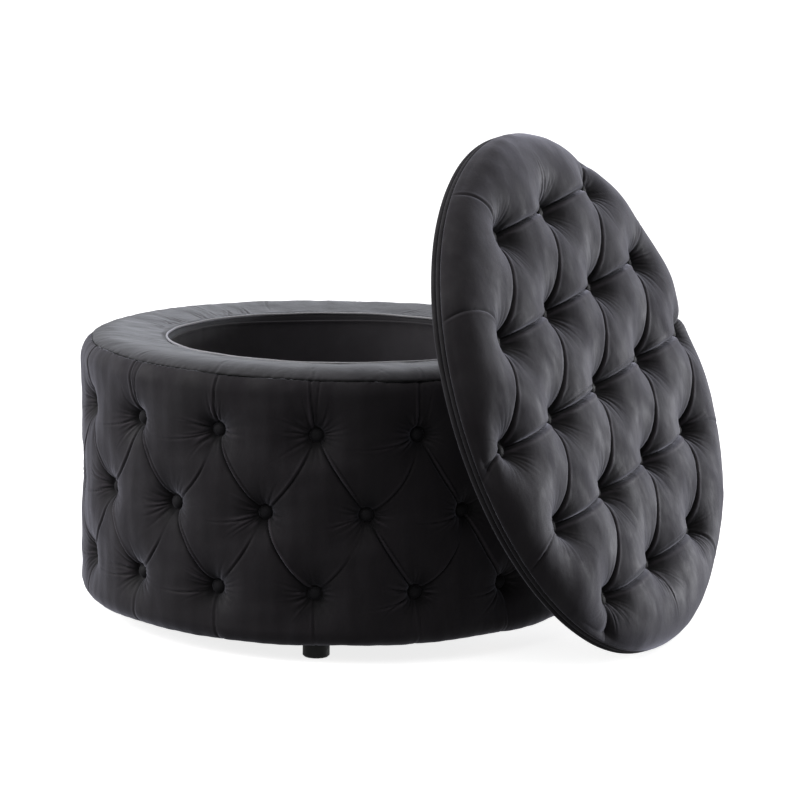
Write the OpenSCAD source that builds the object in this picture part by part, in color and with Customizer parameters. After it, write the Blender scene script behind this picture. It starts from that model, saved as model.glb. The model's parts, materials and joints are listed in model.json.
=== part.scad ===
// Round button-tufted storage ottoman with its lift-off lid leaning on the rim.
// The base stands on the floor, +Z is up, and the lid leans towards +X.

/* [Base] */
// Outside diameter of the upholstered base
base_d = 800; // [760:10:840]
// Height of the rim's crown above the floor
rim_h = 436; // [420:2:460]
// Diameter of the storage well
well_d = 528; // [500:4:540]
// Fall of the rim from its crown to the well
rim_fall = 8; // [4:1:12]
// Radius of the rim's outer corner
rim_corner_r = 40; // [36:1:44]
// Radius of the rim's inner corner
well_corner_r = 12; // [10:1:14]
// Radius of the padding's bottom corner
hem_corner_r = 27; // [26:1:30]
// Height of the seam between the wall cover and the rim cover
rim_seam_h = 419; // [414:1:424]
// Depth of the rim cover's turn-down inside the well
lip_h = 28; // [26:1:34]

/* [Feet] */
// Clear height under the base
foot_gap = 24; // [20:1:30]
// Diameter of a foot
foot_d = 40; // [36:1:44]
// Distance of the feet from the base's axis
foot_at_r = 335; // [325:1:336]
// Direction of the first foot
foot_phase = 25; // [20:1:30]

/* [Tufting] */
// Buttons in each row round the base
wall_buttons = 16; // [14:1:18]
// Direction of the first button in the top and bottom rows
button_phase = 2.5; // [0:0.5:5]
// Height of the middle row of buttons
mid_row_h = 221; // [215:1:225]
// Height between two rows of buttons
row_pitch = 117; // [110:1:120]
// Diameter of a covered button
button_d = 20; // [18:1:22]
// Height of a covered button
button_h = 7; // [6:0.5:8]
// Radius of the pit that a button is drawn into
pit_r = 14; // [13:0.5:16]
// Radius at which the wall's buttons are seated
wall_pit_at_r = 377; // [375:1:379]
// Spacing of the lid's buttons along a row
lid_pitch = 152; // [146:1:154]
// Distance between two rows of the lid's buttons
lid_row_pitch = 152; // [146:1:154]
// Height of the lid's button seats over its underside
lid_pit_h = 28; // [24:1:32]
// Turn of the lid's button rows from the slope line
lid_turn = 34; // [0:1:59]

/* [Lid] */
// Diameter of the lid
lid_d = 800; // [780:10:820]
// Thickness of the lid at its crown
lid_t = 66; // [60:1:72]
// Width of the lid's rounded edge
lid_edge_w = 88; // [70:1:95]
// Angle of the leaning lid from the floor
lean = 70; // [66:1:74]

/* [Frame] */
// Thickness of the velvet with its backing
cover_t = 2; // [1.5:0.5:2.5]
// Thickness of the bottom panel and the top ring
board_t = 15; // [12:1:18]
// Thickness of the two curved wall boards
wall_t = 4; // [3:0.5:5]
// Thickness of a rib
rib_t = 18; // [15:1:21]
// Number of ribs between the wall boards
ribs = 8; // [6:1:10]

/* [Hidden] */
$fn = 64;
steps = 8;                                   // points along a rounded corner
base_r = base_d / 2;
well_r = well_d / 2;
lid_r = lid_d / 2;
wall_face_r = base_r - hem_corner_r - 1;     // outer face of the outer wall board
inner_face_r = well_r + cover_t;             // well side of the inner wall board
panel_z = foot_gap + cover_t;                // underside of the bottom panel
panel_top = panel_z + board_t;
frame_top = rim_h - 24;                      // top of the ring and of both wall boards
ring_z = frame_top - board_t;
lip_z = rim_h - rim_fall - lip_h;
hem_r = wall_face_r - 14;                    // inner edge of the cover under the base
fit_gap = 0.3;
floor_t = 9;
lining_t = 1.5;
floor_top = panel_top + floor_t;
dust_t = 1;
rib_phase = button_phase;
rib_screw_r = 322;
screw_r = 2.2;
screw_head_r = 4.5;
screw_head_h = 2;
bolt_r = 4;
bolt_z = 8;
nut_r = 5;
nut_flange_r = 10;
nut_flange_h = 1.5;
nut_barrel_h = 12;

band_h = 9;                                  // wrapped edge of the lid board
welt_r = 3.5;                                // roll between the band and the dome
dome_z = band_h + 2 * welt_r;
band_w = 2 * welt_r;
lid_lining_t = 1;
lid_board_t = 12;
lid_board_top = lid_lining_t + lid_board_t;
lid_lining_r = lid_r - 2 * band_w;
stop_at_r = well_r - 6;                      // outer face of the locating blocks
stop_size = [20, 60, 18];
stop_screw_inset = 18;
stop_screw_len = 28;

// The lid's underside touches the rounded rim, and its lower edge is on the floor.
rim_touch = (base_r - rim_corner_r) * sin(lean) + (rim_h - rim_corner_r) * cos(lean)
    + rim_corner_r + fit_gap;
lid_z = lid_r * sin(lean);
lid_x = (rim_touch - lid_z * cos(lean)) / sin(lean);
lid_reach = lid_x + max([for (p = dome_path(0)) p[0] * cos(lean) + p[1] * sin(lean)]);
base_x = (base_r - lid_reach) / 2;           // puts the origin under the middle of the set

function arc(c, r, from, to) =
    [for (k = [0 : steps]) let (a = from + (to - from) * k / steps) c + r * [cos(a), sin(a)]];
function backwards(path) = [for (k = [len(path) - 1 : -1 : 0]) path[k]];

// Cross-section of the base's upholstery from the hem over the rim into the well.
function rim_arcs(inset) = concat(
    arc([base_r - hem_corner_r, foot_gap + hem_corner_r], hem_corner_r - inset, -90, 0),
    arc([base_r - rim_corner_r, rim_h - rim_corner_r], rim_corner_r - inset, 0, 90),
    arc([well_r + well_corner_r, rim_h - rim_fall - well_corner_r], well_corner_r - inset, 90, 180)
);
function skin_path(inset) =
    concat([[hem_r, foot_gap + inset]], rim_arcs(inset), [[well_r + inset, lip_z]]);

// Cross-section of the lid's dome from the welt to the crown.
function dome_path(inset) = concat(
    [for (k = [0 : steps]) let (a = 90 * k / steps)
        [lid_r - lid_edge_w + (lid_edge_w - inset) * cos(a),
         dome_z + (lid_t - dome_z - inset) * sin(a)]],
    [[0, lid_t - inset]]
);

// Button places on the lid: rows of 3, 4, 5, 4 and 3.
function lid_places() = [
    for (row = [-2 : 2]) for (k = [0 : 4 - abs(row)])
        [(k - (4 - abs(row)) / 2) * lid_pitch, row * lid_row_pitch]
];

module at_base() translate([base_x, 0, 0]) children();
module at_lid() translate([base_x + lid_x, 0, lid_z]) rotate([0, lean, 0]) children();
module around(count, phase) for (k = [0 : count - 1]) rotate([0, 0, phase + 360 * k / count]) children();
module ring(r_in, r_out, z_low, z_high)
    translate([0, 0, z_low]) difference() {
        cylinder(r = r_out, h = z_high - z_low);
        translate([0, 0, -1]) cylinder(r = r_in, h = z_high - z_low + 2);
    }
module disc(r, z_low, z_high) translate([0, 0, z_low]) cylinder(r = r, h = z_high - z_low);

// A covered button with its back at z = 0.
module button() {
    dome_r = button_d * 0.65;
    intersection() {
        cylinder(r = button_d / 2, h = button_h);
        translate([0, 0, button_h - dome_r]) sphere(r = dome_r);
    }
}
module wall_row(row) {
    half_step = abs(row) == 1 ? 0 : 180 / wall_buttons;
    around(wall_buttons, button_phase + half_step)
        translate([wall_pit_at_r, 0, mid_row_h + row * row_pitch]) rotate([0, 90, 0]) children();
}
module wall_pits() for (row = [-1 : 1]) wall_row(row) cylinder(r = pit_r, h = base_r);
module lid_spread() for (p = lid_places()) rotate([0, 0, lid_turn]) translate(p) children();
module lid_pits() lid_spread() translate([0, 0, lid_pit_h]) cylinder(r = pit_r, h = lid_t);

// A countersunk wood screw, head down at z = 0.
module screw(length) {
    cylinder(r = screw_head_r, h = screw_head_h);
    cylinder(r = screw_r, h = length);
}
module base_screw_set() around(ribs, rib_phase) translate([rib_screw_r, 0, panel_z]) screw(45);
module ring_screw_set()
    around(ribs, rib_phase) translate([rib_screw_r, 0, frame_top]) mirror([0, 0, 1]) screw(50);
module stop_screw_set()
    around(4, 45) for (side = [-1, 1])
        translate([stop_at_r - stop_size[0] / 2, side * stop_screw_inset, -stop_size[2]])
            screw(stop_screw_len);
module foot_bolt_set()
    around(4, foot_phase) translate([foot_at_r, 0, bolt_z])
        cylinder(r = bolt_r, h = panel_top + nut_flange_h - bolt_z);

module feet() at_base() color("#1b1b1c") difference() {
    around(4, foot_phase) translate([foot_at_r, 0, 0]) rotate_extrude()
        polygon([[0, 0], [foot_d / 2 - 2, 0], [foot_d / 2, 2], [foot_d / 2, panel_z], [0, panel_z]]);
    foot_bolt_set();
}
module foot_bolts() at_base() color("#9a9da1") foot_bolt_set();
module tee_nuts() at_base() color("#8d9094") around(4, foot_phase) translate([foot_at_r, 0, 0]) {
    ring(bolt_r, nut_r, panel_top - nut_barrel_h, panel_top);
    ring(bolt_r, nut_flange_r, panel_top, panel_top + nut_flange_h);
}
module dust_cover() at_base() color("#161617") difference() {
    disc(hem_r - fit_gap, panel_z - dust_t, panel_z);
    around(4, foot_phase) translate([foot_at_r, 0, 0]) cylinder(r = foot_d / 2 + fit_gap, h = panel_z + 1);
}
module bottom_panel() at_base() color("#c8a679") difference() {
    disc(wall_face_r, panel_z, panel_top);
    around(4, foot_phase) translate([foot_at_r, 0, 0]) cylinder(r = nut_r, h = panel_top + 1);
    base_screw_set();
}
module base_screws() at_base() color("#a6a8ab") base_screw_set();
module ribs() at_base() color("#c2a070") difference() {
    around(ribs, rib_phase)
        translate([inner_face_r + wall_t + fit_gap, -rib_t / 2, panel_top])
            cube([wall_face_r - inner_face_r - 2 * wall_t - 3 * fit_gap, rib_t, ring_z - panel_top]);
    base_screw_set();
    ring_screw_set();
}
module top_ring() at_base() color("#c8a679") difference() {
    ring(inner_face_r + wall_t, wall_face_r - wall_t, ring_z, frame_top);
    ring_screw_set();
}
module ring_screws() at_base() color("#a6a8ab") ring_screw_set();
module outer_wall() at_base() color("#b08a5e")
    ring(wall_face_r - wall_t, wall_face_r, panel_top, frame_top);
module inner_wall() at_base() color("#b08a5e")
    ring(inner_face_r, inner_face_r + wall_t, panel_top, frame_top);
module wall_foam() at_base() color("#d9cfa8") difference() {
    rotate_extrude() intersection() {
        polygon(concat([[wall_face_r, panel_z]], rim_arcs(cover_t), [[wall_face_r, frame_top]]));
        translate([wall_face_r, 0]) square([base_r, frame_top]);
    }
    wall_pits();
}
module rim_foam() at_base() color("#d9cfa8") rotate_extrude() difference() {
    polygon(concat([[wall_face_r, panel_z]], rim_arcs(cover_t), [[inner_face_r, frame_top - 1]]));
    square([base_r, frame_top]);
}
module cover_section() polygon(concat(skin_path(0), backwards(skin_path(cover_t))));
module wall_side() translate([(well_r + base_r) / 2, 0]) square([base_r, rim_seam_h]);
module wall_cover() at_base() color("#2c2c31") difference() {
    rotate_extrude() intersection() {
        cover_section();
        wall_side();
    }
    wall_pits();
}
module rim_cover() at_base() color("#3a3a40") rotate_extrude() difference() {
    cover_section();
    wall_side();
}
module well_lining() at_base() color("#232021")
    ring(inner_face_r - lining_t, inner_face_r, floor_top + lining_t, lip_z);
module well_floor() at_base() color("#b08a5e") disc(inner_face_r - fit_gap, panel_top, floor_top);
module floor_lining() at_base() color("#232021")
    disc(inner_face_r - fit_gap, floor_top, floor_top + lining_t);
module buttons_top_row() at_base() color("#303035") wall_row(1) button();
module buttons_middle_row() at_base() color("#303035") wall_row(0) button();
module buttons_bottom_row() at_base() color("#303035") wall_row(-1) button();

module lid_board() at_lid() color("#c8a679") difference() {
    disc(lid_r - band_w, lid_lining_t, lid_board_top);
    stop_screw_set();
}
module lid_foam() at_lid() color("#d9cfa8") difference() {
    rotate_extrude() polygon(concat(
        [[0, lid_board_top], [lid_r - band_w, lid_board_top], [lid_r - band_w, dome_z]],
        dome_path(cover_t)));
    lid_pits();
}
module lid_cover() at_lid() color("#3c3c42") difference() {
    rotate_extrude() polygon(concat(dome_path(0), backwards(dome_path(cover_t))));
    lid_pits();
}
module lid_band() at_lid() color("#3c3c42") rotate_extrude() polygon([
    [lid_lining_r, 0], [lid_r, 0], [lid_r, band_h], [lid_r - band_w, band_h],
    [lid_r - band_w, lid_lining_t], [lid_lining_r, lid_lining_t]]);
module lid_welt() at_lid() color("#3c3c42")
    rotate_extrude() translate([lid_r - welt_r, band_h + welt_r]) circle(r = welt_r);
module lid_buttons() at_lid() color("#303035") lid_spread() translate([0, 0, lid_pit_h]) button();
module lid_lining() at_lid() color("#1b1a1b") difference() {
    disc(lid_lining_r, 0, lid_lining_t);
    stop_screw_set();
}
module lid_stops() at_lid() color("#a8825a") difference() {
    around(4, 45) translate([stop_at_r - stop_size[0], -stop_size[1] / 2, -stop_size[2]])
        cube(stop_size);
    stop_screw_set();
}
module lid_stop_screws() at_lid() color("#a6a8ab") stop_screw_set();

feet();
foot_bolts();
tee_nuts();
dust_cover();
bottom_panel();
base_screws();
ribs();
top_ring();
ring_screws();
outer_wall();
inner_wall();
wall_foam();
rim_foam();
wall_cover();
rim_cover();
well_lining();
well_floor();
floor_lining();
buttons_top_row();
buttons_middle_row();
buttons_bottom_row();
lid_board();
lid_foam();
lid_cover();
lid_band();
lid_welt();
lid_buttons();
lid_lining();
lid_stops();
lid_stop_screws();
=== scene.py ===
"""Button-tufted storage ottoman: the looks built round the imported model."""
import json
import math

import bpy
import numpy as np
from mathutils import Matrix, Vector


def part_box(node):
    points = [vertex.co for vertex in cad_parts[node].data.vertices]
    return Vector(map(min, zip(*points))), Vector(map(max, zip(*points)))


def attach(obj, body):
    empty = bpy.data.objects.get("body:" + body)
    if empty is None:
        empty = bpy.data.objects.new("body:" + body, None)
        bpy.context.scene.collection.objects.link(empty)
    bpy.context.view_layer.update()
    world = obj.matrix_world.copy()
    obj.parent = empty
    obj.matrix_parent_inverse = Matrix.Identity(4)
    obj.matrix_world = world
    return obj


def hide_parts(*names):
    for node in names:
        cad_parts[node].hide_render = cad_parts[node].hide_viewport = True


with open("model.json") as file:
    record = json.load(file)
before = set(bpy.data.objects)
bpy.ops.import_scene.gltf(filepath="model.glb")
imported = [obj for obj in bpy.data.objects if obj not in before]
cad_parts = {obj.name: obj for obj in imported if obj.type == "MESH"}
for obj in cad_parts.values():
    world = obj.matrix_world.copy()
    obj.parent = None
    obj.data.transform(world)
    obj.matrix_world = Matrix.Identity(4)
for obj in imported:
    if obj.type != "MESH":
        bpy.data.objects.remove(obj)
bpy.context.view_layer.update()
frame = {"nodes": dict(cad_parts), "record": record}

MM = 0.001
SEED = 7
TURN = 2 * math.pi
PHASE = 6.28  # a random phase, in radians, is anything up to this

# the design's driving dimensions, in millimetres
WALL_BUTTONS = 16
BUTTON_PHASE = math.radians(2.5)
BUTTON_R = 10.0
BUTTON_H = 4.8
BUTTON_SUNK = 1.2
SEAT_R = 377.0
LID_PITCH = 152.0
LID_TURN = math.radians(34)
LID_SEAT = 28.0
HEM_CORNER_R = 27.0
FOOT_AT_R = 335.0
FOOT_R = 20.0
FOOT_TURN = math.radians(25)
LINING_T = 1.5
THIN_T = 1.0
COVER_T = 2.0
RIM_CORNER_R = 40.0
RIM_FALL = 8.0
RIM_SEAM_Z = 419.0
LID_EDGE_W = 88.0
BAND_H = 9.0
WELT_R = 3.5
BUTTON_ROWS = ("buttons_top_row", "buttons_middle_row", "buttons_bottom_row")


def span(name):
    """A CAD node's lowest and highest corners in millimetres."""
    low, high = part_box(name)
    return np.array(low) / MM, np.array(high) / MM


def half_width(name):
    """Half of a CAD node's size along Y, which is a round node's radius."""
    low, high = span(name)
    return (high[1] - low[1]) / 2


# places read from the frame
_low, _high = span("wall_cover")
BASE_X = (_low[0] + _high[0]) / 2
BASE_R = (_high[0] - _low[0]) / 2
HEM_Z = _low[2]
LIP_Z, RIM_Z = (corner[2] for corner in span("rim_cover"))
LINING_LOW_Z = span("well_lining")[0][2]
WELL_R = half_width("well_lining") - COVER_T
FLOOR_Z = span("floor_lining")[1][2]
ROW_Z = [(low[2] + high[2]) / 2 for low, high in map(span, BUTTON_ROWS)]


def lid_axes():
    """The lid's underside centre with its slope, side and outward directions, from its lining disc."""
    co = np.array([v.co for v in frame["nodes"]["lid_lining"].data.vertices]) / MM
    centre = (co.min(0) + co.max(0)) / 2
    normal = np.linalg.svd(co - centre, full_matrices=False)[2][2]
    normal *= np.sign(normal[0])
    side = np.array([0.0, 1.0, 0.0])
    reach = (co - centre) @ normal
    return centre + normal * reach.min(), np.cross(side, normal), side, normal


LID_O, LID_SLOPE, LID_SIDE, LID_OUT = lid_axes()
LID_R = half_width("lid_cover")
LID_LINING_R = half_width("lid_lining")
LID_T = max((np.array(v.co) / MM - LID_O) @ LID_OUT for v in frame["nodes"]["lid_cover"].data.vertices)
DOME_Z = BAND_H + 2 * WELT_R


def to_base(r, angle, z):
    r, angle, z = np.broadcast_arrays(r, angle, z)
    return np.stack([BASE_X + r * np.cos(angle), r * np.sin(angle), z], -1)


def to_lid(x, y, z):
    x, y, z = np.broadcast_arrays(x, y, z)
    return LID_O + x[..., None] * LID_SLOPE + y[..., None] * LID_SIDE + z[..., None] * LID_OUT


# ---- mesh helpers ----
def volume(points, groups):
    """Six times the signed volume that the faces close in."""
    return sum(np.einsum("ij,ij->", points[g[:, 0]], np.cross(points[g[:, k]], points[g[:, k + 1]]))
               for g in groups for k in range(1, g.shape[1] - 1))


def new_object(name, points, faces, fold=None, crest_highlight=None):
    """A smooth closed mesh from points in millimetres and arrays of faces.

    fold and crest are 0 to 1 for each point: how shut in, and how raised beside a crease, the cloth is
    there. The velvet paints shade by the first and a highlight by the second."""
    mesh = bpy.data.meshes.new(name)
    groups = faces if isinstance(faces, list) else [faces]
    if volume(points - points.mean(0), groups) < 0:
        groups = [g[:, ::-1] for g in groups]
    corners = np.concatenate([np.asarray(g, np.int32).ravel() for g in groups])
    sizes = np.concatenate([np.full(len(g), np.shape(g)[1], np.int32) for g in groups])
    mesh.vertices.add(len(points))
    mesh.vertices.foreach_set("co", (np.asarray(points, float) * MM).astype(np.float32).ravel())
    mesh.loops.add(len(corners))
    mesh.loops.foreach_set("vertex_index", corners)
    mesh.polygons.add(len(sizes))
    mesh.polygons.foreach_set("loop_start", (np.cumsum(sizes) - sizes).astype(np.int32))
    mesh.update(calc_edges=True)
    mesh.polygons.foreach_set("use_smooth", np.ones(len(sizes), bool))
    for key, value in (("fold", fold), ("crest_highlight", crest_highlight)):
        if value is not None:
            marks = mesh.attributes.new(key, "FLOAT", "POINT").data
            marks.foreach_set("value", np.asarray(value, np.float32).ravel())
    mesh.validate()
    thing = bpy.data.objects.new(name, mesh)
    bpy.context.scene.collection.objects.link(thing)
    return thing


def grid_faces(rows, cols, loop_rows=False, loop_cols=True):
    """Quads of a rows x cols grid of points, either way joined round where asked."""
    i, j = np.meshgrid(np.arange(rows if loop_rows else rows - 1), np.arange(cols if loop_cols else cols - 1),
                       indexing="ij")
    a, b = (i + 1) % rows, (j + 1) % cols
    return np.stack([i * cols + j, i * cols + b, a * cols + b, a * cols + j], -1).reshape(-1, 4)


def round_angles(count):
    """count even angles round a turn."""
    return np.arange(count) * TURN / count


def disc_grid(count, radius):
    """A square grid of places stretched smoothly over a disc."""
    gy, gx = np.meshgrid(np.linspace(-1, 1, count), np.linspace(-1, 1, count), indexing="ij")
    wide = np.abs(gx) >= np.abs(gy)
    rho = np.where(wide, gx, gy)
    with np.errstate(divide="ignore", invalid="ignore"):
        phi = np.where(wide, math.pi / 4 * gy / gx, math.pi / 2 - math.pi / 4 * gx / gy)
    phi = np.where(rho == 0, 0, phi)
    return rho * radius * np.cos(phi), rho * radius * np.sin(phi)


def resample(points, step):
    """Even places along a polyline, the normals to the left of travel, and distance along it."""
    points = np.asarray(points, float)
    along = np.concatenate([[0], np.cumsum(np.hypot(*np.diff(points, axis=0).T))])
    s = np.linspace(0, along[-1], max(2, int(round(along[-1] / step)) + 1))
    place = np.stack([np.interp(s, along, points[:, k]) for k in (0, 1)], -1)
    tangent = np.gradient(place, axis=0)
    tangent /= np.hypot(*tangent.T)[:, None]
    return place, np.stack([-tangent[:, 1], tangent[:, 0]], -1), s


def bend(start, pull, push, end, count=40):
    """A cubic Bezier curve's points."""
    t = np.linspace(0, 1, count)[:, None]
    weights = ((1 - t) ** 3, 3 * (1 - t) ** 2 * t, 3 * (1 - t) * t * t, t ** 3)
    return [tuple(v) for v in sum(w * np.array(k) for w, k in zip(weights, (start, pull, push, end)))]


def arc(cx, cz, rx, rz, start, end, count=24):
    a = np.radians(np.linspace(start, end, count))
    return list(zip(cx + rx * np.cos(a), cz + rz * np.sin(a)))


def waves(x, y, size, rng, period=None):
    """A smooth random field of about -1 to 1 with bumps near size across. It repeats in x after period."""
    count = 7
    total = np.zeros(np.broadcast(x, y).shape)
    for _ in range(count):
        a, k = rng.uniform(0, TURN), TURN / (size * rng.uniform(0.7, 1.5))
        kx, ky = k * math.cos(a), k * math.sin(a)
        if period:
            kx = round(kx * period / TURN) * TURN / period
        total = total + np.sin(kx * x + ky * y + rng.uniform(0, PHASE))
    return total / count ** 0.5


# ---- cloth relief: pits, pleats and wrinkles pressed into padding ----
class Relief:
    """How far padded cloth is pulled in below its full outline, over the cloth's flat coordinates.

    form is the padding's smooth shape and line the cloth's own creases, both in millimetres."""
    JOIN = 4.0  # how sharply overlapping pits and valleys merge
    BESIDE = 45  # how far to each side of its line a stroke reaches
    SHUT_LINE = 2.5  # depth of a crease that counts as wholly shut, and so in full painted shade
    RAISED_LINE = 1.3  # height of a ridge that counts as wholly raised, and so in full painted highlight
    SEAT_REACH = 14  # how far round a button its flat seat is eased in

    def __init__(self, x, y, period=None):
        self.x, self.y, self.period = x, y, period
        self.form = np.zeros_like(x)
        self.line = np.zeros_like(x)

    def near(self, p, reach):
        dx = self.x - p[0]
        if self.period:
            dx = (dx + self.period / 2) % self.period - self.period / 2
        dy = self.y - p[1]
        pick = (np.abs(dx) < reach) & (np.abs(dy) < reach)
        return pick, dx[pick], dy[pick]

    def pit(self, p, depth, core, fall, share, rng, gather):
        """A button's pit: a steep core, with a share of the depth, in a wide dimple with radial ripples."""
        pick, dx, dy = self.near(p, BUTTON_R + 5 * fall)
        away = np.maximum(np.hypot(dx, dy) - BUTTON_R, 0)
        turn = np.arctan2(dy, dx)
        deep = share * np.exp(-away / core) + (1 - share) * np.exp(-(away / fall) ** 1.25)
        self.form[pick] += (depth * deep) ** self.JOIN
        phase = rng.uniform(0, PHASE, 5)
        count = rng.integers(19, 25)
        ripple = np.cos(count * turn + phase[0] + 1.1 * np.sin(3 * turn + phase[1])
                        + 0.6 * np.sin(5 * turn + phase[2]))
        patch = (0.45 + 0.4 * np.cos(2 * turn) + 0.35 * np.sin(turn + phase[3])
                 + 0.3 * np.cos(3 * turn + phase[4])).clip(0, 1)
        reach = ramp(away, 6) * np.exp(-((away - 8).clip(0) / (0.8 * fall)) ** 1.6)
        self.line[pick] += gather * patch * reach * ((0.5 + 0.5 * ripple) ** 2.2 - 0.2)

    def stroke(self, p, q, bow, shape):
        """A fold or valley from p to q that bows out to the left by bow times its length.

        shape(t, s, length) gives form and line: t runs 0 to 1 along it, and s is the distance to its left."""
        p, q = np.asarray(p, float), np.asarray(q, float)
        length = np.hypot(*(q - p))
        e = (q - p) / length
        pick, dx, dy = self.near((p + q) / 2, length / 2 + self.BESIDE)
        t = (dx * e[0] + dy * e[1]) / length + 0.5
        s = -dx * e[1] + dy * e[0] - bow * length * 4 * t * (1 - t)
        form, line = shape(t, s, length)
        self.form[pick] += form ** self.JOIN
        self.line[pick] += line

    def depth(self, seats, seat):
        """The whole depth, with a flat seat for each button."""
        # marks for the velvet: painted shade in shut creases and a painted highlight on raised ridges
        self.fold = ramp(self.line, self.SHUT_LINE)
        self.crest_highlight = ramp(-self.line, self.RAISED_LINE)
        depth = np.minimum(self.form ** (1 / self.JOIN), seat) + self.line
        for p in seats:
            pick, dx, dy = self.near(p, BUTTON_R + self.SEAT_REACH)
            hold = ramp(np.hypot(dx, dy) - BUTTON_R * 0.9, 5)
            depth[pick] = seat * (1 - hold) + np.minimum(depth[pick], seat) * hold
        return depth


def notch(s, width):
    return np.exp(-np.abs(s) / width)


def bump(s, width):
    return np.exp(-(s / width) ** 2)


def valley(s, width):
    return np.exp(-(np.sqrt(s * s + 1) - 1) / width)


def ramp(value, size):
    """0 to 1 as value goes from 0 to size."""
    return np.clip(value / size, 0, 1)


def within(t, end=1.02):
    """1 on a stroke and a little past its ends, and 0 elsewhere."""
    return ((t > -0.02) & (t < end)).astype(float)


def nearest_end(t):
    return np.clip(np.minimum(t, 1 - t), 0, 1)


FOLD_START = 8  # a pleat's fold comes up over this many millimetres from its button


def pleat(mid, full, reach, widths, cut, lip, twin=0.0, crease=1.5, ridge=1):
    """A pleat from button to button: a valley, deepest at its ends, with a sharp fold beside a raised ridge.

    widths are the valley's on the lip's side, where the cloth laps over, and on the other. ridge is 1 on the
    lip's side and -1 across the fold, and twin is how far a second, finer fold stands off in the middle."""
    def shape(t, s, length):
        ends = nearest_end(t)
        level = mid + (full - mid) * np.exp(-ends * length / reach)
        width = np.where(s * lip > 0, widths[0], widths[1])
        belly = np.sin(np.pi * np.clip(t, 0, 1))
        line = cut * notch(s, crease)
        aside = ridge * lip * (0.8 + 2.1 * crease)
        line = line - (0.34 + 0.08 * ridge) * cut * bump(s - aside, 0.9 + crease)
        if twin:
            fine = max(1.2, 0.4 + 0.5 * crease)
            line = line + 0.45 * cut * notch(s - lip * (2 + twin * belly), fine)
        inside = within(t)
        return inside * level * valley(s, width), inside * ramp(ends * length, FOLD_START) * line
    return shape


def edge_pleat(full, reach, width, cut, lip, spread=0.0, floor=0.0, close=1.0, crease=1.5):
    """A pleat from a button out to a border, where it dies away.

    floor is its depth on the way, closing over the last close millimetres, and spread how far a second fold
    runs off from it."""
    def shape(t, s, length):
        run = np.clip(t, 0, 1)
        level = (floor + (full - floor) * np.exp(-run * length / reach)) * ramp((1 - t) * length, close)
        side = s - spread * run
        line = cut * notch(side, crease)
        line = line - 0.35 * cut * bump(side - lip * (0.8 + 2.3 * crease), 0.9 + 1.1 * crease)
        if spread:
            line = line + 0.8 * cut * notch(s + spread * run, crease)
        inside = within(t, 1.1)
        fade = ramp(run * length, FOLD_START) * (1.05 - 0.5 * run)
        return inside * level * valley(s, width), inside * fade * line
    return shape


def part_pleat(full, reach, cut, share):
    """A thin pleat that leaves one button crisply and dies away after a share of the way to the next."""
    def shape(t, s, length):
        level = 0.6 + (full - 0.6) * np.exp(-nearest_end(t) * length / reach)
        fade = ramp(t * length, FOLD_START) * np.clip((share + 0.15 - t) / 0.25, 0.12, 1)
        fade = fade * ramp((1 - t) * length, FOLD_START)
        line = cut * notch(s, 1.3) - 0.3 * cut * bump(s - 3.2, 2.0)
        return within(t) * level * valley(s, 4), within(t) * fade * line
    return shape


def wrinkle(depth, width):
    """A fine crease that starts at a button and dies away."""
    def shape(t, s, length):
        fade = ramp(t, 0.15) * np.clip(1 - t, 0, 1) ** 1.2
        return np.zeros_like(t), fade * depth * (notch(s, width) - 0.5 * bump(s, width * 3))
    return shape


def fan(relief, rng, p, toward, spread, count, reach, depth):
    """Fine wrinkles that leave a button about one direction."""
    for _ in range(count):
        a = toward + rng.normal(0, spread)
        e = np.array([math.cos(a), math.sin(a)])
        start = BUTTON_R + rng.uniform(0, 5)
        relief.stroke(p + e * start, p + e * (start + reach * rng.uniform(0.5, 1)), rng.normal(0, 0.06),
                      wrinkle(depth * rng.uniform(0.5, 1), rng.uniform(1.2, 2.1)))


# ---- the base's tufted wall ----
WALL_STEP = 1.6
SEAM_TUCK = 1.4
MOUTH_Z = RIM_Z - RIM_FALL - 2.6
HEM_LINE_Z = LIP_Z + 16.0
SEAM_ANGLE = math.degrees(math.asin((RIM_SEAM_Z - (RIM_Z - RIM_CORNER_R)) / RIM_CORNER_R))
AROUND = TURN * BASE_R
WELL_AROUND = TURN * WELL_R
WELL_COLUMNS = 900
PITCH = AROUND / WALL_BUTTONS


def wall_spots():
    """Every wall button: its row, its distance round the wall and its height."""
    return [(row, BUTTON_PHASE * BASE_R + (k + 0.5 * (row == 1)) * PITCH, ROW_Z[row])
            for row in range(3) for k in range(WALL_BUTTONS)]


def seam_lift(angle):
    """How far up the padding's corner, in millimetres, the hand-pulled rim seam stands above the CAD's."""
    left = (0.5 + 0.5 * np.cos(angle - math.radians(212))) ** 3
    pillows = 0.5 + 0.5 * np.cos(WALL_BUTTONS * (angle - BUTTON_PHASE) + math.pi)
    return 11.0 * left + (0.4 + 1.6 * left) * pillows


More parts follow.
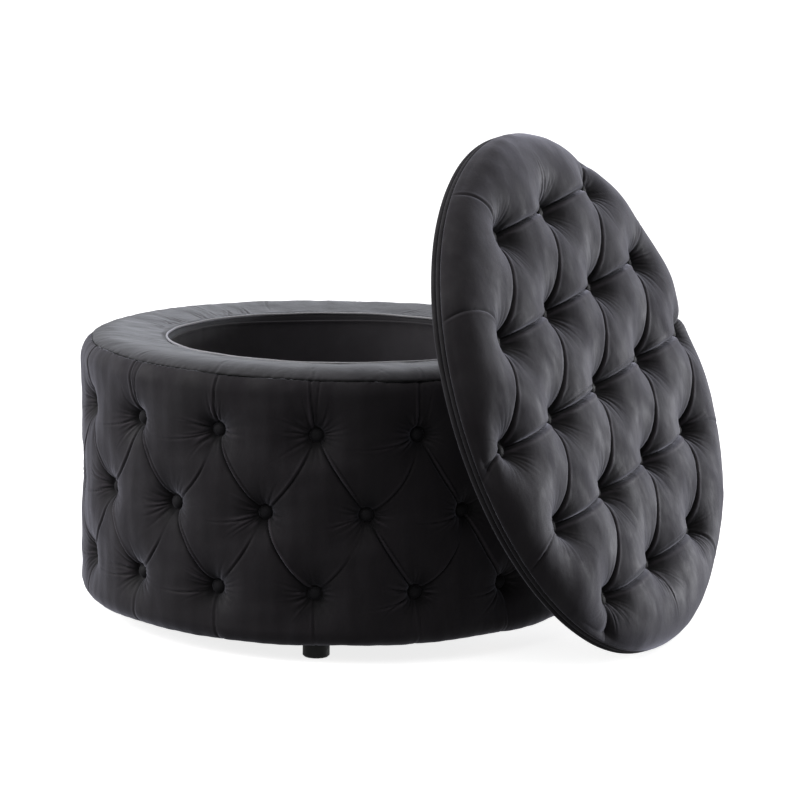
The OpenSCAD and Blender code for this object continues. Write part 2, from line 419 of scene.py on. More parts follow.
def build_wall():
    rng = np.random.default_rng(SEED)
    path = [(BASE_R - HEM_CORNER_R - 14, HEM_Z)]
    path += arc(BASE_R - HEM_CORNER_R, HEM_Z + HEM_CORNER_R, HEM_CORNER_R, HEM_CORNER_R, -90, 0)
    path += arc(BASE_R - RIM_CORNER_R, RIM_Z - RIM_CORNER_R, RIM_CORNER_R, RIM_CORNER_R, 0, 70)
    place, inward, s = resample(path, WALL_STEP)
    level = np.argmin(np.abs(place[:, 1] - ROW_Z[1]))
    seam = np.interp(RIM_SEAM_Z, place[level:, 1], s[level:])
    angle = round_angles(int(round(AROUND / WALL_STEP)))
    rows = np.linspace(0, seam, int(round(seam / WALL_STEP)) + 1)
    up, lift = np.meshgrid(rows, seam_lift(angle), indexing="ij")
    run = up + lift * ramp(up - seam + 50, 50)
    gap = seam + lift - run
    x, y = angle[None, :] * BASE_R + 0 * run, run - s[level] + place[level, 1]
    top = seam - s[level] + place[level, 1]
    r = Relief(x, y, AROUND)
    seat = BASE_R - SEAT_R
    half = PITCH / 2
    spots = wall_spots()
    for row, a, h in spots:
        r.pit((a, h), seat, 10, 24, 0.42, rng, 1.3)
        if row:
            r.stroke((a, h), (a - half, ROW_Z[row - 1]), rng.normal(0.045, 0.02),
                     pleat(3.0, seat * 0.85, 20, (3, 12), 4.6, -1, 4.5 if rng.random() < 0.7 else 0, 1.15))
            r.stroke((a, h), (a + half, ROW_Z[row - 1]), rng.normal(-0.10, 0.03),
                     part_pleat(seat * 0.7, 18, rng.uniform(2.2, 3.6), rng.uniform(0.35, 0.95)))
        else:
            ends = top + 4 + seam_lift(a / BASE_R)
            r.stroke((a, h), (a + rng.normal(0, 4), ends), rng.normal(0.02, 0.03),
                     edge_pleat(seat * 0.8, 20, 3.0, 2.6, 1, rng.choice([0, 5.5, 7.5, 9.0]), 0.3,
                                crease=1.15))
            for _ in range(rng.integers(2, 6)):
                b = a + rng.normal(0, 6)
                r.stroke((b, h + 13), (b + 1.2 * (b - a) + rng.normal(0, 3), ends + rng.uniform(-45, 0)),
                         rng.normal(0, 0.02), wrinkle(2.8, 1.4))
        if row == 2:
            r.stroke((a, h), (a + rng.normal(0, 5), 12), rng.normal(0, 0.03),
                     edge_pleat(seat * 0.75, 18, 8, 1.5, -1, rng.choice([0, 0, 5]), 0.7))
    for row, a, h in spots:
        p = np.array([a, h])
        if rng.random() < 0.45:
            r.stroke((a - 14, h - 6), (a - rng.uniform(90, 130), h - rng.uniform(6, 22)), 0.05,
                     wrinkle(4.6, 1.5))
        fan(r, rng, p, math.pi, 0.40, 8, 66, 4.2)
        fan(r, rng, p, 0, 0.40, 4, 42, 3.2)
        fan(r, rng, p, math.pi / 2, 0.5, 3, 50, 2.6)
    depth = r.depth([(a, h) for _, a, h in spots], seat)
    depth += 1.1 * (1 + waves(x, y, 160, rng, AROUND)).clip(0) + 0.35 * waves(x, y, 38, rng, AROUND)
    puckers = (0.5 + 0.7 * waves(x, x * 0, 12, rng, AROUND)).clip(0)
    depth += puckers * np.clip(1 - gap / 7, 0, 1) ** 1.5
    depth = np.clip(depth, 0, seat + 0.5) + SEAM_TUCK * np.clip(1 - gap / WALL_STEP, 0, 1)
    front = skin(place, inward, s, run, depth, angle)
    board_r = BASE_R - HEM_CORNER_R
    back = [(BASE_R - 17, RIM_SEAM_Z - 5), (board_r, RIM_SEAM_Z - 15), (board_r, ROW_Z[1] - 1),
            (board_r, HEM_Z + 24), (board_r - 7, HEM_Z + 5)]
    # painted shade: darker in the pits and creases, and a dark line along the seam
    fold = np.maximum(np.maximum(depth / seat, r.fold), 1.2 - gap / 3)
    return close_shell("tufted_wall", front, back, angle, fold, r.crest_highlight)


def skin(place, inward, s, run, depth, angle):
    """The cloth's places in the frame, at distances run along a section path and depth below it."""
    r, z, inward_r, inward_z = (np.interp(run, s, k) for k in (*place.T, *inward.T))
    return to_base(r + inward_r * depth, angle[None, :], z + inward_z * depth)


def close_shell(name, front, back, angle, fold, crest_highlight):
    """A padded ring: the cloth's places in front, and (radius, height) points behind."""
    back = np.array(back)
    back = to_base(back[:, :1], angle[None, :], back[:, 1:])
    points = np.concatenate([front, back]).reshape(-1, 3)
    # the hidden back is marked wholly shut, so it is painted in full shade
    fold = np.concatenate([fold, np.ones(back.shape[:2])])
    crest_highlight = np.concatenate([crest_highlight, np.zeros(back.shape[:2])])
    quads = grid_faces(len(front) + len(back), len(angle), loop_rows=True)
    return new_object(name, points, quads, fold, crest_highlight)


RIM_STEP, RIM_COLUMN = 2.3, 2.6
CROWN_R = WELL_R + 14  # where the rim starts to turn down into the well
# the folds pulled in from the well: from and to, in degrees, and how many
PULLED_FOLDS = ((150, 200, 16), (222, 262, 6), (318, 350, 5), (68, 104, 9))
# the back of the padding, as radii and heights over the lip
RIM_BACK = ((WELL_R + 3.4, 0.5), (WELL_R + 4.5, 12.5), (330, 12.5), (372, 12.5), (384, 14))


def build_rim():
    """The padded rim, and the ring of points where it meets the wall's cover."""
    rng = np.random.default_rng(SEED + 1)
    corner = BASE_R - RIM_CORNER_R
    turn = math.radians(SEAM_ANGLE)
    seam = np.array([corner + RIM_CORNER_R * math.cos(turn), RIM_SEAM_Z])
    inner = np.array([CROWN_R, RIM_Z - RIM_FALL])
    upward = np.array([-math.sin(turn), math.cos(turn)])
    path = bend(seam, seam + 31 * upward, inner + (60, 5.5), inner)
    path += arc(CROWN_R, RIM_Z - RIM_FALL - 5, 9, 5, 88, 150)
    path += [(WELL_R + 4.6, MOUTH_Z - 0.5), (WELL_R + 1.6, MOUTH_Z - 3.5), (WELL_R + 1.4, LIP_Z)]
    place, inward, s = resample(path, RIM_STEP)
    angle = round_angles(int(round(AROUND / RIM_COLUMN)))
    x, y = np.meshgrid(angle * BASE_R, s)
    run = y + seam_lift(angle)[None, :] * np.clip(1 - y / 60, 0, 1)
    r = Relief(x, y, AROUND)
    for k in range(WALL_BUTTONS):
        a = BUTTON_PHASE * BASE_R + k * PITCH + rng.normal(0, 4)
        lean = rng.normal(14, 24)
        long = rng.choice([60, 95, 140])
        r.stroke((a, -6), (a + lean * long / 90, long), rng.normal(0, 0.04), wrinkle(3.4, 2.0))
        for _ in range(3):
            b = a + rng.uniform(-0.5, 0.5) * PITCH
            r.stroke((b, rng.uniform(0, 20)), (b + rng.normal(0, 22), rng.uniform(30, 80)), 0.05,
                     wrinkle(rng.uniform(0.8, 1.7), 2.2))
            c = a + rng.uniform(-0.5, 0.5) * PITCH
            r.stroke((c, s[-1] - 24), (c + rng.normal(0, 30), s[-1] - rng.uniform(50, 90)), 0.05,
                     wrinkle(rng.uniform(0.8, 1.9), 2.2))
    for start, end, count in PULLED_FOLDS:
        for _ in range(count):
            c = math.radians(rng.uniform(start, end)) * BASE_R
            far = s[-1] - 30 - rng.uniform(0, 10)
            r.stroke((c, far), (c + rng.normal(-26, 12), far - rng.uniform(30, 80)), rng.normal(0, 0.06),
                     wrinkle(rng.uniform(3.0, 5.5), rng.uniform(1.5, 2.2)))
    depth = r.line + 0.6 * (1 + waves(x, y, 140, rng, AROUND)).clip(0) + 0.16 * waves(x, y, 34, rng, AROUND)
    depth += 0.4 * waves(x, y, 75, rng, AROUND)
    puckers = (0.5 + 0.7 * waves(x, y * 0, 12, rng, AROUND)).clip(0)
    depth += puckers * bump(y - 1, 4.5)
    lip = ramp(y - s[-1] + 34, 14)
    depth = np.clip(depth, 0, 6) * (1 - 0.9 * lip) - 0.2 * lip + SEAM_TUCK * np.clip(1 - y / RIM_STEP, 0, 1)
    front = skin(place, inward, s, run, depth, angle)
    back = [(radius, LIP_Z + z) for radius, z in RIM_BACK]
    # painted shade in deep places, in creases and as a dark line along the seam; painted highlight beside the
    # creases
    fold = np.maximum(np.maximum(depth.clip(0, 9) / 12, r.line / 3.5), 1.1 - y / 2.6)
    return close_shell("padded_rim", front, back, angle, fold, ramp(-r.line, 1.5)), front[0]


def tube_along(name, line, radius, sides=8):
    """A thin closed tube along a ring of points, marked wholly shut, so in full painted shade."""
    ahead = np.roll(line, -1, 0) - np.roll(line, 1, 0)
    ahead /= np.linalg.norm(ahead, axis=1)[:, None]
    out = np.cross(ahead, (0, 0, 1))
    out /= np.linalg.norm(out, axis=1)[:, None]
    a = round_angles(sides)[:, None, None]
    points = line + radius * (np.cos(a) * out + np.sin(a) * np.cross(out, ahead))
    return new_object(name, points.reshape(-1, 3), grid_faces(sides, len(line), loop_rows=True),
                      np.ones(sides * len(line)))


def lathe(name, section, cols, place, pucker=None):
    """A closed ring from a closed section of (radius, height); pucker(angle, k) shifts each section point."""
    section = np.asarray(section, float)
    angle = round_angles(cols)
    r = section[:, :1] + np.zeros((1, cols))
    z = section[:, 1:] + np.zeros((1, cols))
    if pucker:
        dr, dz = pucker(angle[None, :], np.arange(len(section))[:, None])
        r, z = r + dr, z + dz
    points = place(r, angle[None, :], z).reshape(-1, 3)
    quads = grid_faces(len(section), cols, loop_rows=True)
    return new_object(name, points, quads, np.full(len(points), 0.15))


def build_lining():
    """The well's lining: a thin cloth shell, rolled over at its top edge, a little slack."""
    rng = np.random.default_rng(SEED + 4)
    inner, roll = WELL_R - 0.2, 1.4
    path = [(inner, LINING_LOW_Z), (inner, HEM_LINE_Z - 9), (inner - 0.6, HEM_LINE_Z - 5)]
    path += [(inner - 1.3, HEM_LINE_Z - 3)] + arc(inner - 0.1, HEM_LINE_Z - roll, roll, roll, 200, 20, 9)
    path += [(inner + 1.2, HEM_LINE_Z - 3), (inner + 1.0, LINING_LOW_Z)]
    counts = [60] + [3] * (len(path) - 2)
    steps = [np.linspace(a, b, n, endpoint=False) for n, a, b in zip(counts, path, path[1:])]
    section = np.concatenate(steps + [[path[-1]]])
    angle = round_angles(WELL_COLUMNS)
    x, y = np.meshgrid(angle * WELL_R, section[:, 1])
    under = HEM_LINE_Z - y
    slack = 0.45 * waves(x, y * 0.35, 90, rng, WELL_AROUND) * ramp(under, 60)
    tuck = 0.16 * waves(x, y * 0.2, 22, rng, WELL_AROUND) * np.exp(-(under / 26) ** 2)
    sway = 1.3 * waves(x, x * 0, 210, rng, WELL_AROUND) * np.exp(-(under / 16) ** 2)
    r = section[:, :1] - (slack + tuck).clip(-0.9, 2.5)
    points = to_base(r, angle[None, :], y + sway).reshape(-1, 3)
    quads = grid_faces(len(section), WELL_COLUMNS, loop_rows=True)
    return new_object("well_cloth", points, quads, np.full(len(points), 0.1))


def cloth_disc(name, radius, low, thick, wave, size, place, holes=(), count=160):
    """A thin disc of cloth with its underside at low, lifted here and there by wave.

    holes are (x, y, radius), and are cut right through it."""
    rng = np.random.default_rng(SEED + 5)
    x, y = (k.ravel() for k in disc_grid(count, radius))
    quads = grid_faces(count, count, loop_cols=False)
    for hx, hy, hole in holes:
        dx, dy = x - hx, y - hy
        away = np.hypot(dx, dy)
        outside = away > hole * 1.02
        quads = quads[outside[quads].any(1)]
        snap = np.zeros(len(x), bool)
        snap[quads.ravel()] = True
        snap &= ~outside
        x[snap], y[snap] = hx + dx[snap] * hole / away[snap], hy + dy[snap] * hole / away[snap]
    used, quads = np.unique(quads, return_inverse=True)
    quads = quads.reshape(-1, 4)
    x, y = x[used], y[used]
    hold = ramp(radius - np.hypot(x, y), 16)
    for hx, hy, hole in holes:
        hold = hold * ramp(np.hypot(x - hx, y - hy) - hole, 16)
    z = low + wave * hold * (0.5 + 0.5 * waves(x, y, size, rng).clip(-1, 1))
    n = len(x)
    a, b = quads.ravel(), np.roll(quads, -1, axis=1).ravel()
    lone = ~np.isin(a * n + b, b * n + a)
    side = np.stack([b[lone], a[lone], a[lone] + n, b[lone] + n], -1)
    points = np.concatenate([place(x, y, z), place(x, y, z + thick)])
    return new_object(name, points, [quads[:, ::-1], quads + n, side], np.full(2 * n, 0.1))


def flat_base(x, y, z):
    return np.stack([BASE_X + x, y, z], -1)


def ring_section(r, z, radius, count=14):
    """A round cord's section, as (radius, height) points."""
    a = round_angles(count)
    return np.stack([r + radius * np.cos(-a), z + radius * np.sin(-a)], -1)


def cord_pucker(rng, amount, sway, around):
    """Small slanted puckers, 9 mm apart, along a covered cord, and its slow wander."""
    turns = int(around / 9)
    phase = rng.uniform(0, PHASE, 8)

    def shift(angle, k):
        tight = amount * np.sin(turns * angle + 0.9 * k + 2 * np.sin(11 * angle + phase[0]))
        slow = sway * (np.sin(5 * angle + phase[1]) + 0.6 * np.sin(13 * angle + phase[2])
                       + 0.4 * np.sin(31 * angle + phase[3])) / 2
        lift = sway * (np.sin(7 * angle + phase[4]) + 0.7 * np.sin(17 * angle + phase[5])) / 2
        return tight + slow, tight * 0.6 + lift
    return shift


def lid_place(r, angle, z):
    return to_lid(r * np.cos(angle), r * np.sin(angle), z)


# ---- covered buttons ----
def button_patch(rng, rings=11, sides=40):
    """A cloth-covered button as rings round its own axis: its points, quads, cap and foot triangles."""
    grow = np.linspace(0, 1, rings) ** 0.8
    a = round_angles(sides)
    rad = BUTTON_R * grow[:, None] * np.ones(sides)
    rise = BUTTON_H * (1 - grow ** 2.6)[:, None] * np.ones(sides)
    gather = 0.22 * grow[:, None] ** 3 * np.sin(13 * a + rng.uniform(0, 6))
    rad = rad + gather * (grow[:, None] < 0.999)
    rise = rise + 0.6 * gather
    u, v = rad * np.cos(a), rad * np.sin(a)
    hem = np.stack([u[-1] * 0.96, v[-1] * 0.96, np.full(sides, -BUTTON_SUNK)], -1)
    face = np.stack([u[1:], v[1:], rise[1:]], -1).reshape(-1, 3)
    points = np.concatenate([[[0, 0, BUTTON_H]], face, hem, [[0, 0, -BUTTON_SUNK]]])
    quads = grid_faces(rings, sides) + 1
    ring = np.arange(sides)
    cap = np.stack([np.zeros(sides, int), (ring + 1) % sides + 1, ring + 1], -1)
    last = 1 + (rings - 1) * sides
    foot = np.stack([np.full(sides, last + sides), last + ring, last + (ring + 1) % sides], -1)
    return points, quads, cap, foot


def build_buttons(name, seats, rng, fold=0.1):
    """Buttons at seats, each (place, axis along, axis across, axis out); fold is how far they are painted in
    shade.
    """
    points, quads, tris = [], [], []
    for place, along, across, out in seats:
        p, q, cap, foot = button_patch(rng)
        tilt = rng.normal(0, 0.05, 2)
        out = out + tilt[0] * along + tilt[1] * across
        out = out / np.linalg.norm(out)
        base = sum(len(k) for k in points)
        points.append(place + p[:, :1] * along + p[:, 1:2] * across + p[:, 2:] * out)
        quads.append(q + base)
        tris += [cap + base, foot + base]
    points = np.concatenate(points)
    return new_object(name, points, [np.concatenate(quads), np.concatenate(tris)], np.full(len(points), fold))


def wall_seats(row):
    """Where a row's buttons sit on the wall, as build_buttons takes them."""
    seats = []
    for k, a, h in wall_spots():
        if k == row:
            t = a / BASE_R
            out = np.array([math.cos(t), math.sin(t), 0.0])
            along = np.array([-math.sin(t), math.cos(t), 0.0])
            seats.append((to_base(SEAT_R, t, h), along, np.array([0.0, 0, 1]), out))
    return seats


def lid_spots():
    """The lid's buttons: each one's place down the slope and across it, from the lid's middle."""
    spots = []
    for row in range(-2, 3):
        count = 5 - abs(row)
        for k in range(count):
            a, b = (k - (count - 1) / 2) * LID_PITCH, row * LID_PITCH
            spots.append((a * math.cos(LID_TURN) - b * math.sin(LID_TURN),
                          a * math.sin(LID_TURN) + b * math.cos(LID_TURN)))
    return spots


# ---- the lid's tufted top ----
OUTER_SPOT_R = 250  # buttons further out than this send a fold to the lid's edge
LAST_SPOT_R = 320  # buttons further out than this lie close to the edge
# the two ways that pleats run: depth midway, widths, cut and twin from and to, crease, and bow
LID_ROW_PLEAT = (8.5, (8, 20), (4.4, 6.4), (5, 10), 2.5, 0.0)
LID_CROSS_PLEAT = (9.5, (7, 22), (5.0, 6.6), (4, 8), 2.2, -0.02)


def border_folds(r, rng, p, edge_r, seat):
    """The folds and wrinkles that run from an outer button to the lid's edge, edge_r along the cloth."""
    e = p / np.hypot(*p)
    a = math.atan2(e[1], e[0]) + rng.normal(0, 0.03)
    end = edge_r * np.array([math.cos(a), math.sin(a)])
    close = np.hypot(*p) > LAST_SPOT_R
    if abs(e[1]) < 0.5 and not close:
        across = np.array([-e[1], e[0]])
        for side in (-5, 3):
            r.stroke(p + side * across + 10 * e, p + 0.62 * (end - p), rng.normal(0, 0.04),
                     wrinkle(rng.uniform(3.4, 4.4), 1.8))
    else:
        r.stroke(p, end, 0.14 * e[1] + rng.normal(0, 0.02),
                 edge_pleat(seat * 0.85, 24, 20 if close else 11, rng.uniform(1.8, 3.0), rng.choice([-1, 1]),
                            0 if close else rng.choice([0, 0, 4]), 13.0 if close else 1.2, 24))
    fan(r, rng, p, a, 0.35, 5, 62, 2.6)


def build_lid():
    rng = np.random.default_rng(SEED + 2)
    flat_r = LID_R - LID_EDGE_W
    path = [(0, LID_T), (flat_r, LID_T)]
    path += arc(flat_r, DOME_Z, LID_EDGE_W, LID_T - DOME_Z, 90, 4, 40)
    path += [(LID_R - 1.2, DOME_Z + 0.6), (LID_R - 4, DOME_Z - 0.3), (LID_R - 7.5, DOME_Z - 1.2)]
    place, inward, s = resample(path, 0.5)
    inward = -inward
    count = 460
    x, y = disc_grid(count, s[-1])
    far = np.hypot(x, y)
    ca, sa = x / np.maximum(far, 1e-9), y / np.maximum(far, 1e-9)
    r = Relief(x, y)
    seat = LID_T - LID_SEAT
    spots = np.array(lid_spots())
    up = LID_PITCH * np.array([-math.sin(LID_TURN), math.cos(LID_TURN)])
    along = LID_PITCH * np.array([math.cos(LID_TURN), math.sin(LID_TURN)])
    for p in spots:
        r.pit(p, seat, 13, 38, 0.36, rng, 0.7)
        for step, kind in ((up + along / 2, LID_ROW_PLEAT), (up - along / 2, LID_CROSS_PLEAT)):
            mid, widths, cut, twin, crease, bow = kind
            gap = np.hypot(*(spots - (p + step)).T)
            if gap.min() < 1:
                shape = pleat(mid, seat * 0.95, 30, widths, rng.uniform(*cut), 1,
                              rng.uniform(*twin) if rng.random() < 0.6 else 0, crease, -1)
                r.stroke(p, spots[gap.argmin()], rng.normal(bow, 0.02), shape)
        if np.hypot(*p) > OUTER_SPOT_R:
            border_folds(r, rng, p, s[-1], seat)
    for p in spots:
        for toward in (up + along / 2, up - along / 2, -up - along / 2, -up + along / 2):
            fan(r, rng, p, math.atan2(toward[1], toward[0]) + rng.normal(0, 0.1), 0.25, 3, 64, 2.3)
        fan(r, rng, p, math.atan2(along[1], along[0]), 0.3, 4, 70, 2.2)
    depth = r.depth(spots, seat)
    depth += 1.0 * (1 + waves(x, y, 150, rng)).clip(0) + 0.18 * waves(x, y, 40, rng)
    depth = np.clip(depth, 0, seat + 0.5) * ramp(s[-1] - 6 - far, 12)
    at_r, at_z, in_r, in_z = (np.interp(far, s, k) for k in (*place.T, *inward.T))
    rr, zz = at_r + in_r * depth, at_z + in_z * depth
    points = to_lid(rr * ca, rr * sa, zz).reshape(-1, 3)
    corner = count * (count - 1)
    edge = np.concatenate([np.arange(count), np.arange(1, count) * count + count - 1,
                           corner + np.arange(count - 2, -1, -1), np.arange(count - 2, 0, -1) * count])
    quads = grid_faces(count, count, loop_cols=False)
    # painted shade: darker in the pits and creases; the crest values give the painted highlight beside them
    fold = np.maximum(depth / seat, r.fold)
    return new_object("tufted_lid", points, [quads, edge[::-1][None, :]], fold, r.crest_highlight)


# ---- materials ----
def material(name):
    mat = bpy.data.materials.new(name)
    mat.use_nodes = True
    tree = mat.node_tree
    return mat, tree, tree.nodes["Principled BSDF"]


def put(made, **values):
    """Sets a node's inputs by name."""
    for key, value in values.items():
        made.inputs[key.replace("_", " ")].default_value = value


def node(tree, kind, links=(), **values):
    """A shader node: links are (input, socket) pairs, values are inputs or properties by name."""
    made = tree.nodes.new(kind)
    for key, value in values.items():
        if hasattr(made, key):
            setattr(made, key, value)
        else:
            put(made, **{key: value})
    for key, socket in links:
        tree.links.new(socket, made.inputs[key])
    return made


def noise(tree, scale, detail=3.0, rough=0.55, stretch=None):
    coords = node(tree, "ShaderNodeTexCoord").outputs["Object"]
    if stretch:
        coords = node(tree, "ShaderNodeMapping", [("Vector", coords)], Scale=stretch).outputs[0]
    return node(tree, "ShaderNodeTexNoise", [("Vector", coords)], Scale=scale, Detail=detail,
                Roughness=rough).outputs["Fac"]


def ranged(tree, value, low, high, start=0.3, end=0.7, kind="LINEAR"):
    """A socket that goes from low to high while value goes from start to end."""
    made = node(tree, "ShaderNodeMapRange", [("Value", value)], interpolation_type=kind)
    for key, number in zip(("From Min", "From Max", "To Min", "To Max"), (start, end, low, high)):
        made.inputs[key].default_value = number
    return made.outputs[0]


def mixed(tree, factor, a, b):
    """A colour between a and b, each a colour or a socket."""
    made = node(tree, "ShaderNodeMix", [(0, factor)], data_type="RGBA")
    for index, value in ((6, a), (7, b)):
        if isinstance(value, tuple):
            made.inputs[index].default_value = (*value, 1)
        else:
            tree.links.new(value, made.inputs[index])
    return made.outputs[2]


def maths(tree, operation, a, b):
    """Two sockets multiplied, added and so on."""
    return node(tree, "ShaderNodeMath", [(0, a), (1, b)], operation=operation).outputs[0]


def bumps(tree, shader, *layers):
    """Bump layers, each (height socket, distance in metres, strength)."""
    normal = None
    for height, distance, strength in layers:
        made = node(tree, "ShaderNodeBump", [("Height", height)], Distance=distance, Strength=strength)
        if normal:
            tree.links.new(normal, made.inputs["Normal"])
        normal = made.outputs[0]
    tree.links.new(normal, shader.inputs["Normal"])


def velvet(name, dark, light, sheen, nap_height=0.0022, strokes=(1, 1, 0.35), soften=0.38,
           tint=(0.80, 0.80, 0.94)):
    """Short-pile velvet: brushed patches, with painted shade where it is folded in and a painted highlight on
    its folds' edges.
    """
    mat, tree, shader = material(name)
    nap = ranged(tree, noise(tree, 5.5, 4, 0.6), 0, 1, 0.36, 0.64)
    brushed = ranged(tree, noise(tree, 26, 5, 0.65, strokes), 0, 1, 0.35, 0.68)
    grain = noise(tree, 1300, 2, 0.6)
    blend = node(tree, "ShaderNodeMix", [(0, brushed), (2, nap)])
    blend.inputs[3].default_value = 0.5
    colour = mixed(tree, blend.outputs[0], dark, light)
    colour = mixed(tree, ranged(tree, grain, 0, 0.5, 0.3, 0.75), colour, tuple(c * 0.45 for c in dark))
    # painted shade: the colour goes near black where the cloth is shut in, in creases and pits
    fold = node(tree, "ShaderNodeAttribute", attribute_name="fold").outputs["Fac"]
    colour = mixed(tree, ranged(tree, fold, 0, 0.92, 0.16, 0.75), colour, tuple(c * 0.18 for c in dark))
    # painted highlight: the colour goes lighter on the ridges beside creases
    crest_highlight = node(tree, "ShaderNodeAttribute", attribute_name="crest_highlight").outputs["Fac"]
    colour = mixed(tree, ranged(tree, crest_highlight, 0, 0.55, 0.1, 1), colour, tuple(c * 2.4 for c in light))
    tree.links.new(colour, shader.inputs["Base Color"])
    tree.links.new(ranged(tree, brushed, 0.60, 0.92, 0, 1), shader.inputs["Roughness"])
    put(shader, Specular_IOR_Level=0.25, Sheen_Weight=sheen, Sheen_Roughness=soften, Sheen_Tint=(*tint, 1))
    bumps(tree, shader, (noise(tree, 30, 3, 0.5), nap_height, 0.3), (noise(tree, 160, 4, 0.6), 0.0006, 0.25),
          (grain, 0.0004, 0.35))
    return mat


def cloth(name, dark, light, threads, rough, gauge=0.0004):
    """A woven lining: warp and weft waves over a mottled colour."""
    mat, tree, shader = material(name)
    coords = node(tree, "ShaderNodeTexCoord").outputs["Object"]
    warp, weft = (node(tree, "ShaderNodeTexWave", [("Vector", coords)], Scale=threads, Distortion=0.6,
                       bands_direction=way).outputs["Fac"] for way in ("Z", "DIAGONAL"))
    weave = maths(tree, "MULTIPLY", warp, weft)
    mottled = ranged(tree, noise(tree, 14, 4), 0, 1)
    colour = mixed(tree, mottled, dark, light)
    colour = mixed(tree, ranged(tree, weave, 0, 0.4, 0, 1), colour, tuple(c * 0.6 for c in dark))
    tree.links.new(colour, shader.inputs["Base Color"])
    tree.links.new(ranged(tree, noise(tree, 40, 3), rough - 0.08, rough + 0.08), shader.inputs["Roughness"])
    put(shader, Specular_IOR_Level=0.3, Sheen_Weight=0.12)
    bumps(tree, shader, (noise(tree, 30, 3), 0.002, 0.2), (weave, gauge, 0.4))
    return mat


def wood(name, dark, light, stretch, rings=26.0):
    """Wood with bands and fibres drawn out along stretch's smallest axis."""
    mat, tree, shader = material(name)
    coords = node(tree, "ShaderNodeTexCoord").outputs["Object"]
    long = node(tree, "ShaderNodeMapping", [("Vector", coords)], Scale=stretch).outputs[0]
    bands = node(tree, "ShaderNodeTexWave", [("Vector", long)], Scale=rings, Distortion=5.0, Detail=3.0)
    fibre = node(tree, "ShaderNodeTexNoise", [("Vector", long)], Scale=220.0, Detail=4.0).outputs["Fac"]
    colour = mixed(tree, bands.outputs["Fac"], dark, light)
    colour = mixed(tree, ranged(tree, fibre, 0, 0.5), colour, tuple(c * 0.5 for c in dark))
    tree.links.new(colour, shader.inputs["Base Color"])
    tree.links.new(ranged(tree, fibre, 0.55, 0.8), shader.inputs["Roughness"])
    bumps(tree, shader, (fibre, 0.0006, 0.35))
    return mat


def plastic(name, colour):
    """Moulded plastic, scuffed a little lighter here and there."""
    mat, tree, shader = material(name)
    scuff = ranged(tree, noise(tree, 55, 6, 0.7), 0, 1, 0.45, 0.75)
    shade = mixed(tree, scuff, colour, tuple(min(1, c * 2.2 + 0.01) for c in colour))
    tree.links.new(shade, shader.inputs["Base Color"])
    tree.links.new(ranged(tree, scuff, 0.38, 0.62, 0, 1), shader.inputs["Roughness"])
    bumps(tree, shader, (noise(tree, 1500, 2), 0.0002, 0.3))
    return mat


def metal(name, colour):
    """Plated metal with a fine brushed finish and faint stains."""
    mat, tree, shader = material(name)
    brushed = noise(tree, 600, 3, 0.6, (1, 1, 0.08))
    stain = ranged(tree, noise(tree, 90, 4), 0, 1)
    tree.links.new(mixed(tree, stain, colour, tuple(c * 0.7 for c in colour)), shader.inputs["Base Color"])
    tree.links.new(ranged(tree, brushed, 0.28, 0.5), shader.inputs["Roughness"])
    put(shader, Metallic=1.0)
    bumps(tree, shader, (brushed, 0.0002, 0.25))
    return mat


LOOKS = {
    "velvet": velvet("black_velvet", (0.0138, 0.0114, 0.0136), (0.0250, 0.0215, 0.0255), 0.60),
    "velvet_button": velvet("button_velvet", (0.011, 0.0105, 0.0125), (0.020, 0.019, 0.022), 0.10, 0.0004),
    "rim_velvet": velvet("rim_velvet", (0.0130, 0.0108, 0.0128), (0.0370, 0.0335, 0.0385), 0.54, 0.0050,
                         (0.35, 1.3, 1), 0.50, (0.80, 0.83, 0.90)),
    "trim_velvet": velvet("trim_velvet", (0.0120, 0.0105, 0.0122), (0.0200, 0.0175, 0.0205), 0.22, 0.0010),
    # near-black, dull velvet for the tube in the rim's seam: painted shade along the seam's crease
    "seam": velvet("seam_painted_shade", (0.0040, 0.0036, 0.0042), (0.0080, 0.0072, 0.0084), 0.04, 0.0002),
    # the lid's buttons: a darker, duller copy of the velvet, painted shade for buttons sunk in dark pits
    "shaded_pit_button": velvet("pit_button_painted_shade", (0.0060, 0.0056, 0.0066), (0.0110, 0.0104, 0.0120), 0.03,
                         0.0004),
    # light grey: partly the piping's own colour, partly a painted highlight along the mouth's edge
    "piping": velvet("piping_painted_highlight", (0.330, 0.325, 0.340), (0.450, 0.445, 0.460), 1.0, 0.0003),
    "lining": cloth("well_lining_cloth", (0.026, 0.023, 0.027), (0.038, 0.034, 0.041), 900.0, 0.6),
    "dust_cloth": cloth("dust_cloth", (0.012, 0.012, 0.013), (0.022, 0.022, 0.023), 420.0, 0.85, 0.0006),
    "foam": cloth("foam_block", (0.50, 0.44, 0.28), (0.62, 0.56, 0.38), 260.0, 0.9, 0.001),
    "plywood": wood("birch_plywood", (0.42, 0.29, 0.17), (0.62, 0.46, 0.29), (1, 0.15, 4)),
    "fibreboard": wood("hardboard", (0.26, 0.17, 0.10), (0.34, 0.23, 0.14), (1, 1, 1), 60.0),
    "stop_wood": wood("sawn_pine", (0.50, 0.34, 0.19), (0.66, 0.48, 0.29), (3, 0.25, 3)),
    "foot_plastic": plastic("foot_plastic", (0.012, 0.012, 0.013)),
    "zinc": metal("zinc_plate", (0.58, 0.59, 0.61)),
}


def dress(thing, look, body=None, stands_for=()):
    """Gives a piece its material and body, and hides the CAD nodes that it stands for."""
    thing.data.materials.clear()
    thing.data.materials.append(LOOKS[look])
    if body:
        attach(thing, body)
        if stands_for:
            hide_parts(*stands_for)
    return thing


for part in frame["record"]["subparts"]:
    dress(frame["nodes"][part["node"]], part["material_slot"])

dress(build_wall(), "velvet", "base", ("wall_cover", "wall_foam"))
rim, seam_line = build_rim()
dress(rim, "rim_velvet", "base", ("rim_cover", "rim_foam"))
